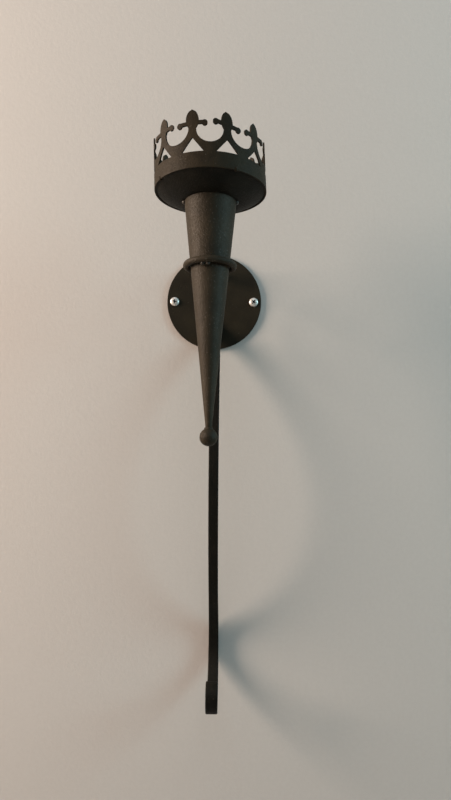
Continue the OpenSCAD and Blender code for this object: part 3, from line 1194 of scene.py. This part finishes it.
@dataclass(frozen=True)
class Arm:
    """One arm of a fleur: the degrees that it rises, and its reach to the centre of its round end."""

    rise: float = 0.0
    reach: float = 0.0096


@dataclass(frozen=True)
class Fleur:
    """One fleur of the crown: its turn round the torch, its arms, and its head's lean, lift and girth."""

    turn: float
    left: Arm = Arm()
    right: Arm = Arm()
    lean: float = 0.0
    lift: float = 0.0
    girth: float = 1.0


@dataclass
class Crown:
    """The pierced band, cut flat from a strip and rolled into a ring with its seam at the back."""

    edge: float = 0.00025
    band_height: float = 0.0122
    fleurs: tuple[Fleur, ...] = (
        Fleur(18.5, Arm(16), Arm(-8), lean=8, lift=0.0005),
        Fleur(52, Arm(2), Arm(6, 0.0126), lean=8),
        Fleur(88, Arm(1, 0.0075), Arm(-1), lean=-1, lift=-0.0004),
        Fleur(128, Arm(-1.5), Arm(1.5), lean=1.5, lift=0.0014),
        Fleur(162, Arm(-3), Arm(3), lift=0.0012),
        Fleur(198, Arm(1.5), Arm(-1.5), lean=-1.5, lift=0.0012),
        Fleur(239, lift=0.0014),
        Fleur(277, right=Arm(0, 0.0072)),
        Fleur(309.8, Arm(1, 0.0122), Arm(4), lean=-5, lift=0.0018),
        Fleur(344.5, Arm(-2, 0.0108), Arm(2, 0.0099), lift=0.0015, girth=1.1))
    fleur_height: float = 0.0432
    head_width: float = 0.0094
    head_length: float = 0.015
    head_point: float = 0.0005
    head_facets: int = 32
    waist: float = 0.006
    cut_height: float = 0.0294
    cut_facets: int = 72
    cutter_depth: float = 4 * LAYOUT.crown_sheet
    arm_height: float = 0.0329
    arm_thickness: float = 0.0028
    arm_end_radius: float = 0.0023
    arm_end_facets: int = 24
    arm_droop: float = 0.0006
    step_reach: float = 0.0096
    window_width: float = 0.0186
    window_height: float = 0.0092
    # how wide a window is at its point, as a share of its foot
    window_tip: float = 0.02
    # what the rolled crown leans toward +X and closes for each metre of height, and more on the right
    top_lean: float = -0.014
    top_closing: float = 0.013
    right_closing: float = 0.024
    spare: float = 0.001
    slices: int = 96
    # the strip's end faces are picked out with this much play
    end_play: float = 0.0000001

    def along(self, turn: float) -> float:
        """Returns the place on the flat strip of a turn round the torch."""
        return LAYOUT.crown_radius * math.radians(turn if turn <= 180 else turn - 360)

    def build(self) -> list[Piece]:
        """Cuts the strip, rounds its edges, rolls it and closes the seam.

        Returns:
            The crown.
        """
        strip = self.strip()
        combine(strip, self.cutters(), "DIFFERENCE")
        combine(strip, unite([self.head(fleur) for fleur in self.fleurs]), "UNION")
        soften(strip, self.edge, sharper_than=40)
        self.slice(strip)
        self.roll(strip)
        close_up(strip)
        smooth(strip, angle=40)
        return [hand_over(strip, "crown_band_pierced", Coat.CROWN, "crown_band")]

    def block(self, width: float, height: float, x: float, z: float,
              depth: float = LAYOUT.crown_sheet) -> Piece:
        """Makes a block through the strip, whose outside is at Y = 0.

        Args:
            width: its size along the strip.
            height: its size across the strip.
            x: where its middle is along the strip.
            z: where its middle is across the strip.
            depth: its size through the strip.

        Returns:
            The block.
        """
        block = fresh(bpy.ops.mesh.primitive_cube_add, size=1)
        block.scale = (width, depth, height)
        block.location = (x, LAYOUT.crown_sheet / 2, z)
        settle(block)
        return block

    def disc(self, radius: float, x: float, z: float, facets: int,
             depth: float = LAYOUT.crown_sheet) -> Piece:
        """Returns a disc through the strip, by its middle."""
        return rod(radius, depth, facets, (x, LAYOUT.crown_sheet / 2, z))

    def strip(self) -> Piece:
        """Returns the blank, a little higher than the highest fleur's arms."""
        height = self.arm_height + max(fleur.lift for fleur in self.fleurs) + self.spare
        return self.block(math.tau * LAYOUT.crown_radius, height, 0, height / 2)

    def cutters(self) -> Piece:
        """Makes the cuts: round ones between the fleurs, a window below and a step above each arm.

        Returns:
            The tools, as one mesh object.
        """
        tools = []
        for fleur, following in zip(self.fleurs, (*self.fleurs[1:], self.fleurs[0])):
            gap = (following.turn - fleur.turn) % 360
            radius = LAYOUT.crown_radius * math.radians(gap / 2) - self.waist / 2
            middle = fleur.turn + gap / 2
            places = [self.along(middle % 360)]
            if abs(middle - 180) < 1:
                places.append(-places[0])
            height = self.cut_height + (fleur.lift + following.lift) / 2
            tools += [self.disc(radius, x, height, self.cut_facets, self.cutter_depth) for x in places]
        for fleur in self.fleurs:
            x = self.along(fleur.turn)
            middle = self.arm_height + fleur.lift + self.head_length / 2
            tools.append(self.window(x, self.window_height + fleur.lift))
            tools.append(self.block(2 * self.step_reach, self.head_length, x, middle, self.cutter_depth))
        return unite(tools)

    def window(self, x: float, height: float) -> Piece:
        """Makes the punch of one pointed window.

        Args:
            x: its place along the strip.
            height: its height from the band to its point.

        Returns:
            The punch.
        """
        middle = self.band_height + height / 2
        punch = self.block(self.window_width, height, x, middle, self.cutter_depth)
        with editing(punch):
            choose(punch, Pick.POINTS, lambda at: at.z > middle)
            bpy.ops.transform.resize(value=(self.window_tip, 1, 1), center_override=(x, 0, 0))
        return punch

    def head(self, fleur: Fleur) -> Piece:
        """Makes one fleur's pointed oval head and its two arms.

        Args:
            fleur: its place and shape.

        Returns:
            Head and arms, as one mesh object.
        """
        x = self.along(fleur.turn)
        middle = self.fleur_height - self.head_length / 2
        head = self.disc(self.head_length / 2, x, middle, self.head_facets)
        with editing(head, everything=True):
            bpy.ops.transform.resize(value=(self.head_width * fleur.girth / self.head_length, 1, 1),
                                     center_override=(x, 0, middle))
            choose(head, Pick.POINTS, lambda at: at.z < self.fleur_height - TINY)
            bpy.ops.transform.translate(value=(0, 0, -self.head_point))
        self.tilt(head, x, fleur.lean)
        whole = unite([head, self.arm(x, -1, fleur.left), self.arm(x, 1, fleur.right)])
        for point in whole.data.vertices:
            point.co.z += fleur.lift
        return whole

    def arm(self, x: float, side: int, arm: Arm) -> Piece:
        """Makes an arm with its round end.

        Args:
            x: the fleur's place along the strip.
            side: -1 for its left arm, 1 for its right one.
            arm: the arm's rise and reach.

        Returns:
            Bar and end, as one mesh object.
        """
        tip = x + side * arm.reach
        bar = self.block(arm.reach, self.arm_thickness, (x + tip) / 2, self.arm_height)
        end = self.disc(self.arm_end_radius, tip, self.arm_height - self.arm_droop, self.arm_end_facets)
        piece = unite([bar, end])
        self.tilt(piece, x, side * arm.rise)
        return piece

    def tilt(self, piece: Piece, x: float, lean: float) -> None:
        """Turns a flat piece in the strip's plane about a fleur's waist.

        Args:
            piece: the flat piece.
            x: the fleur's place along the strip.
            lean: the turn in degrees, + toward the fleur's left.
        """
        cosine, sine = math.cos(math.radians(lean)), math.sin(math.radians(lean))
        for point in piece.data.vertices:
            right, up = point.co.x - x, point.co.z - self.arm_height
            point.co.x = x + right * cosine - up * sine
            point.co.z = self.arm_height + right * sine + up * cosine

    def slice(self, strip: Piece) -> None:
        """Opens the strip's ends and cuts it across, so that it rolls smoothly.

        Args:
            strip: the pierced flat strip.
        """
        half = math.pi * LAYOUT.crown_radius
        with editing(strip):
            choose(strip, Pick.FACES, lambda at: abs(at.x) > half - self.end_play)
            bpy.ops.mesh.delete(type="ONLY_FACE")
            for number in range(1, self.slices):
                bpy.ops.mesh.select_all(action="SELECT")
                bpy.ops.mesh.bisect(plane_co=(half * (2 * number / self.slices - 1), 0, 0),
                                    plane_no=ALONG_X)
            bpy.ops.mesh.select_all(action="SELECT")
            bpy.ops.mesh.quads_convert_to_tris(quad_method="BEAUTY", ngon_method="BEAUTY")

    def roll(self, strip: Piece) -> None:
        """Rolls the strip round the torch's axis, outside outward, leaning and closing toward its top.

        Args:
            strip: the sliced flat strip.
        """
        for point in strip.data.vertices:
            turn, height = point.co.x / LAYOUT.crown_radius, point.co.z
            closing = self.top_closing + self.right_closing * math.sin(turn)
            reach = LAYOUT.crown_radius - point.co.y - closing * height
            point.co = LAYOUT.round_torch(math.degrees(turn), reach, LAYOUT.crown_z + height)
            point.co.x += self.top_lean * height


# ---------------------------------------------------------------- welds


@dataclass(frozen=True)
class Tacks:
    """Blobs of weld on an edge round the torch.

    They have turns, and the edge has a reach from the torch's axis and a height. A blob's middle stands
    out and up from the edge, and its height is tall times its width.
    """

    turns: tuple[float, ...]
    reach: float
    z: float
    radius: float
    out: float = 0.0
    up: float = 0.0
    tall: float = 1.0


@dataclass(frozen=True)
class Bead:
    """A rippled bead that lies across a bar, by its middle and its length along X."""

    x: float
    u: float
    z: float
    radius: float
    length: float


@dataclass
class Welds:
    """Every tack and bead of the sconce, each group of them one piece."""

    rim: Tacks = Tacks((27, 160, 205, 302), LAYOUT.crown_inside, LAYOUT.crown_z, radius=0.0016,
                       out=0.0006, up=0.0009, tall=1.3)
    cone: Tacks = Tacks((-82, 82, 180), LAYOUT.cone_top_radius, LAYOUT.pan_z, radius=0.0022,
                        up=-0.0007, tall=0.9)
    ring: Tacks = Tacks((-17, -3, 170), LAYOUT.ring_radius, LAYOUT.ring_z - LAYOUT.ring_bar_radius,
                        radius=0.0019, out=-0.0018)
    # how far a tack's points move, as a share of its radius, and where each one's random numbers start
    unevenness: float = 0.10
    seeds: Iterator[int] = field(default_factory=lambda: iter(range(11, 99)))
    bars: Bars = field(default_factory=Bars)
    foot_bead: float = 0.0024
    ring_bead: Bead = Bead(0, LAYOUT.scroll_face_u, LAYOUT.ring_z - LAYOUT.ring_bar_radius,
                           radius=0.0018, length=0.0079)
    bead_facets: int = 24
    # the share of its radius that a bead starts with, and the share of its length that it fills out in
    bead_start: float = 0.5
    bead_ramp: float = 0.125
    # the length of a ripple, its rings, the fewest on a bead, and its depth as a share of the radius
    ripple: float = 0.0016
    ripple_steps: int = 4
    fewest_ripples: int = 3
    ripple_depth: float = 0.06
    tip_bead: float = 0.0013
    tip_facets: int = 48
    tip_bead_facets: int = 16
    tip_play: float = 0.00012
    tip_seed: int = 7

    def build(self) -> list[Piece]:
        """Makes the groups of welds.

        Returns:
            One piece for each group.
        """
        bars, plate = self.bars, LAYOUT.plate_thickness
        scroll = self.foot_beads(0, bars.scroll_foot(plate), LAYOUT.scroll_width, LAYOUT.scroll_thickness)
        bow = self.foot_beads(LAYOUT.bow_x, bars.bow_foot(plate), LAYOUT.bow_side, LAYOUT.bow_side)
        return [self.blobs("rim_tacks_blobs", "rim_tacks", self.rim, Coat.CROWN),
                self.blobs("cone_tacks_blobs", "cone_tacks", self.cone, Coat.WELD),
                self.blobs("ring_tacks_blobs", "ring_tacks", self.ring, Coat.WELD),
                self.beads("scroll_welds_beads", "scroll_welds", scroll),
                self.beads("bow_welds_beads", "bow_welds", bow),
                self.beads("ring_weld_bead", "ring_weld", [self.ring_bead]),
                self.collar()]

    def blobs(self, name: str, node: str, tacks: Tacks, coat: Coat) -> Piece:
        """Makes a group of uneven blobs.

        Args:
            name: the piece's name.
            node: the node that it stands for.
            tacks: where the blobs are and how large.
            coat: their finish.

        Returns:
            The group as one piece.
        """
        made = []
        for turn in tacks.turns:
            at = LAYOUT.round_torch(turn, tacks.reach + tacks.out, tacks.z + tacks.up)
            blob = fresh(bpy.ops.mesh.primitive_ico_sphere_add, subdivisions=4, radius=tacks.radius,
                         location=at)
            with editing(blob, everything=True):
                bpy.ops.transform.resize(value=(1, 1, tacks.tall), center_override=at)
                make_uneven(tacks.radius * self.unevenness, next(self.seeds), passes=4)
                bpy.ops.mesh.normals_make_consistent(inside=False)
            smooth(blob, angle=80)
            made.append(blob)
        return hand_over(unite(made), name, coat, node)

    def foot_beads(self, x: float, foot: Foot, width: float, thickness: float) -> list[Bead]:
        """Returns the beads above and below a bar's foot on the plate."""
        rise = thickness / 2 / math.cos(math.radians(foot.heading))
        return [Bead(x, foot.u, foot.z + side * rise, self.foot_bead, width) for side in (-1, 1)]

    def bead_stops(self, length: float) -> list[tuple[float, float]]:
        """Lists a bead's rings: blunt ends, full between them, and rippled.

        Args:
            length: the bead's length.

        Returns:
            The place along the bead and the share of its radius of each ring.
        """
        steps = self.ripple_steps * max(self.fewest_ripples, round(length / self.ripple))
        stops = [(0.0, self.bead_start)]
        for step in range(1, steps + 1):
            share = step / steps
            ramp = (1 - self.bead_start) / self.bead_ramp * min(share, 1 - share)
            wave = 1 - self.ripple_depth * (1 - math.cos(math.tau * step / self.ripple_steps))
            stops.append((share * length, min(1.0, self.bead_start + ramp) * wave))
        return stops

    def beads(self, name: str, node: str, beads: Sequence[Bead]) -> Piece:
        """Makes a group of beads.

        Args:
            name: the piece's name.
            node: the node that it stands for.
            beads: the beads.

        Returns:
            The group as one piece.
        """
        made = []
        for bead in beads:
            piece = fresh(bpy.ops.mesh.primitive_circle_add, vertices=self.bead_facets,
                          radius=bead.radius * self.bead_start, fill_type="NGON",
                          location=(bead.x - bead.length / 2, -bead.u, bead.z),
                          rotation=(0, math.pi / 2, 0))
            with editing(piece, Pick.FACES, everything=True):
                grow(self.bead_stops(bead.length), ALONG_X, (0, -bead.u, bead.z))
            close_up(piece)
            smooth(piece, angle=60)
            made.append(piece)
        return hand_over(unite(made), name, Coat.WELD, node)

    def collar(self) -> Piece:
        """Makes the uneven collar of weld round the torch's tip, on the ball.

        Returns:
            The collar.
        """
        collar = fresh(bpy.ops.mesh.primitive_torus_add, location=LAYOUT.on_axis(LAYOUT.tip_z),
                       major_segments=self.tip_facets, minor_segments=self.tip_bead_facets,
                       major_radius=LAYOUT.cone_tip_radius, minor_radius=self.tip_bead)
        with editing(collar, everything=True):
            make_uneven(self.tip_play, self.tip_seed, passes=2)
        close_up(collar)
        smooth(collar, angle=80)
        return hand_over(collar, "tip_weld_collar", Coat.TORCH, "tip_weld")


# ---------------------------------------------------------------- studio


@dataclass(frozen=True)
class SoftLamp:
    """A large soft lamp: its place, its width, its power, its tint and the point it is aimed at."""

    name: str
    place: Place
    width: float
    power: float
    tint: Colour
    aim: Place = (0.0, -0.03, -0.12)

    def hang(self) -> None:
        """Adds the lamp to the scene."""
        light = bpy.data.lights.new(self.name, "AREA")
        light.shape = "DISK"
        light.size = self.width
        light.energy = self.power
        light.color = self.tint
        lamp = bpy.data.objects.new(self.name, light)
        lamp.location = self.place
        lamp.rotation_euler = (Vector(self.aim) - Vector(self.place)).to_track_quat("-Z", "Y").to_euler()
        bpy.context.scene.collection.objects.link(lamp)


@dataclass
class Studio:
    """A pale wall and floor, three soft lamps before the wall and one behind, a grey room, the camera."""

    wall_y: float = 0.0002
    wall_size: float = 5.0
    floor_z: float = -1.3
    room_grey: float = 0.09
    camera_place: Place = (0.0186, -0.621, -0.15465)
    camera_roll: float = -0.5
    lens: float = 26.1
    sensor: float = 36.0
    shift_x: float = -0.0061
    shift_y: float = 0.0592
    nearest: float = 0.01
    lamps: tuple[SoftLamp, ...] = (
        SoftLamp("warm_lamp", (-1.50, -0.48, 0.34), width=0.85, power=50.0, tint=(1.0, 0.79, 0.64)),
        SoftLamp("cool_lamp", (1.50, -0.62, 0.36), width=0.80, power=14.5, tint=(0.58, 0.93, 1.0)),
        SoftLamp("ceiling_lamp", (0.0, -1.30, 1.60), width=1.40, power=8.0, tint=(0.92, 0.96, 1.0)),
        SoftLamp("back_lamp", (0.0, 1.0, 0.15), width=0.80, power=6.0, tint=(1.0, 0.96, 0.90),
                 aim=(0.0, 0.0, 0.0)))

    def build(self) -> None:
        """Sets up wall, floor, lamps, room and camera."""
        self.plane("pale_wall", (0, self.wall_y, 0), (math.pi / 2, 0, 0), clear=True)
        self.plane("pale_floor", (0, -self.wall_size / 2, self.floor_z), (0, 0, 0), clear=False)
        for lamp in self.lamps:
            lamp.hang()
        world = bpy.data.worlds.new("room")
        bpy.context.scene.world = world
        world.use_nodes = True
        world.node_tree.nodes["Background"].inputs["Color"].default_value = (*[self.room_grey] * 3, 1)
        self.camera()
        bpy.context.scene.view_settings.view_transform = "Standard"

    def plane(self, name: str, place: Place, turn: Triple, clear: bool) -> None:
        """Adds a wall or floor.

        Args:
            name: its name.
            place: its middle.
            turn: its turn about the three axes.
            clear: whether it is clear from behind.
        """
        piece = fresh(bpy.ops.mesh.primitive_plane_add, size=self.wall_size, location=place, rotation=turn)
        piece.name = name
        piece.data.materials.append(WallPaint(name + "_paint", clear_from_behind=clear).make())

    def camera(self) -> None:
        """Places the camera where the photograph was taken from."""
        data = bpy.data.cameras.new("camera")
        data.sensor_width = self.sensor
        data.lens = self.lens
        data.shift_x = self.shift_x
        data.shift_y = self.shift_y
        data.clip_start = self.nearest
        camera = bpy.data.objects.new("camera", data)
        camera.location = self.camera_place
        camera.rotation_euler = (math.pi / 2, math.radians(self.camera_roll), 0)
        bpy.context.scene.collection.objects.link(camera)
        bpy.context.scene.camera = camera


def main() -> None:
    """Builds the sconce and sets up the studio."""
    logging.basicConfig(level=logging.INFO, format="%(name)s: %(message)s")
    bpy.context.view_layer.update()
    for assembly in (WallPlate(), WallScrews(), Bars(), Torch(), DripPan(), Crown(), Welds()):
        pieces = assembly.build()
        LOG.info("%s: %d pieces", type(assembly).__name__, len(pieces))
    Studio().build()
    clear_selection()


if __name__ == "__main__":
    main()
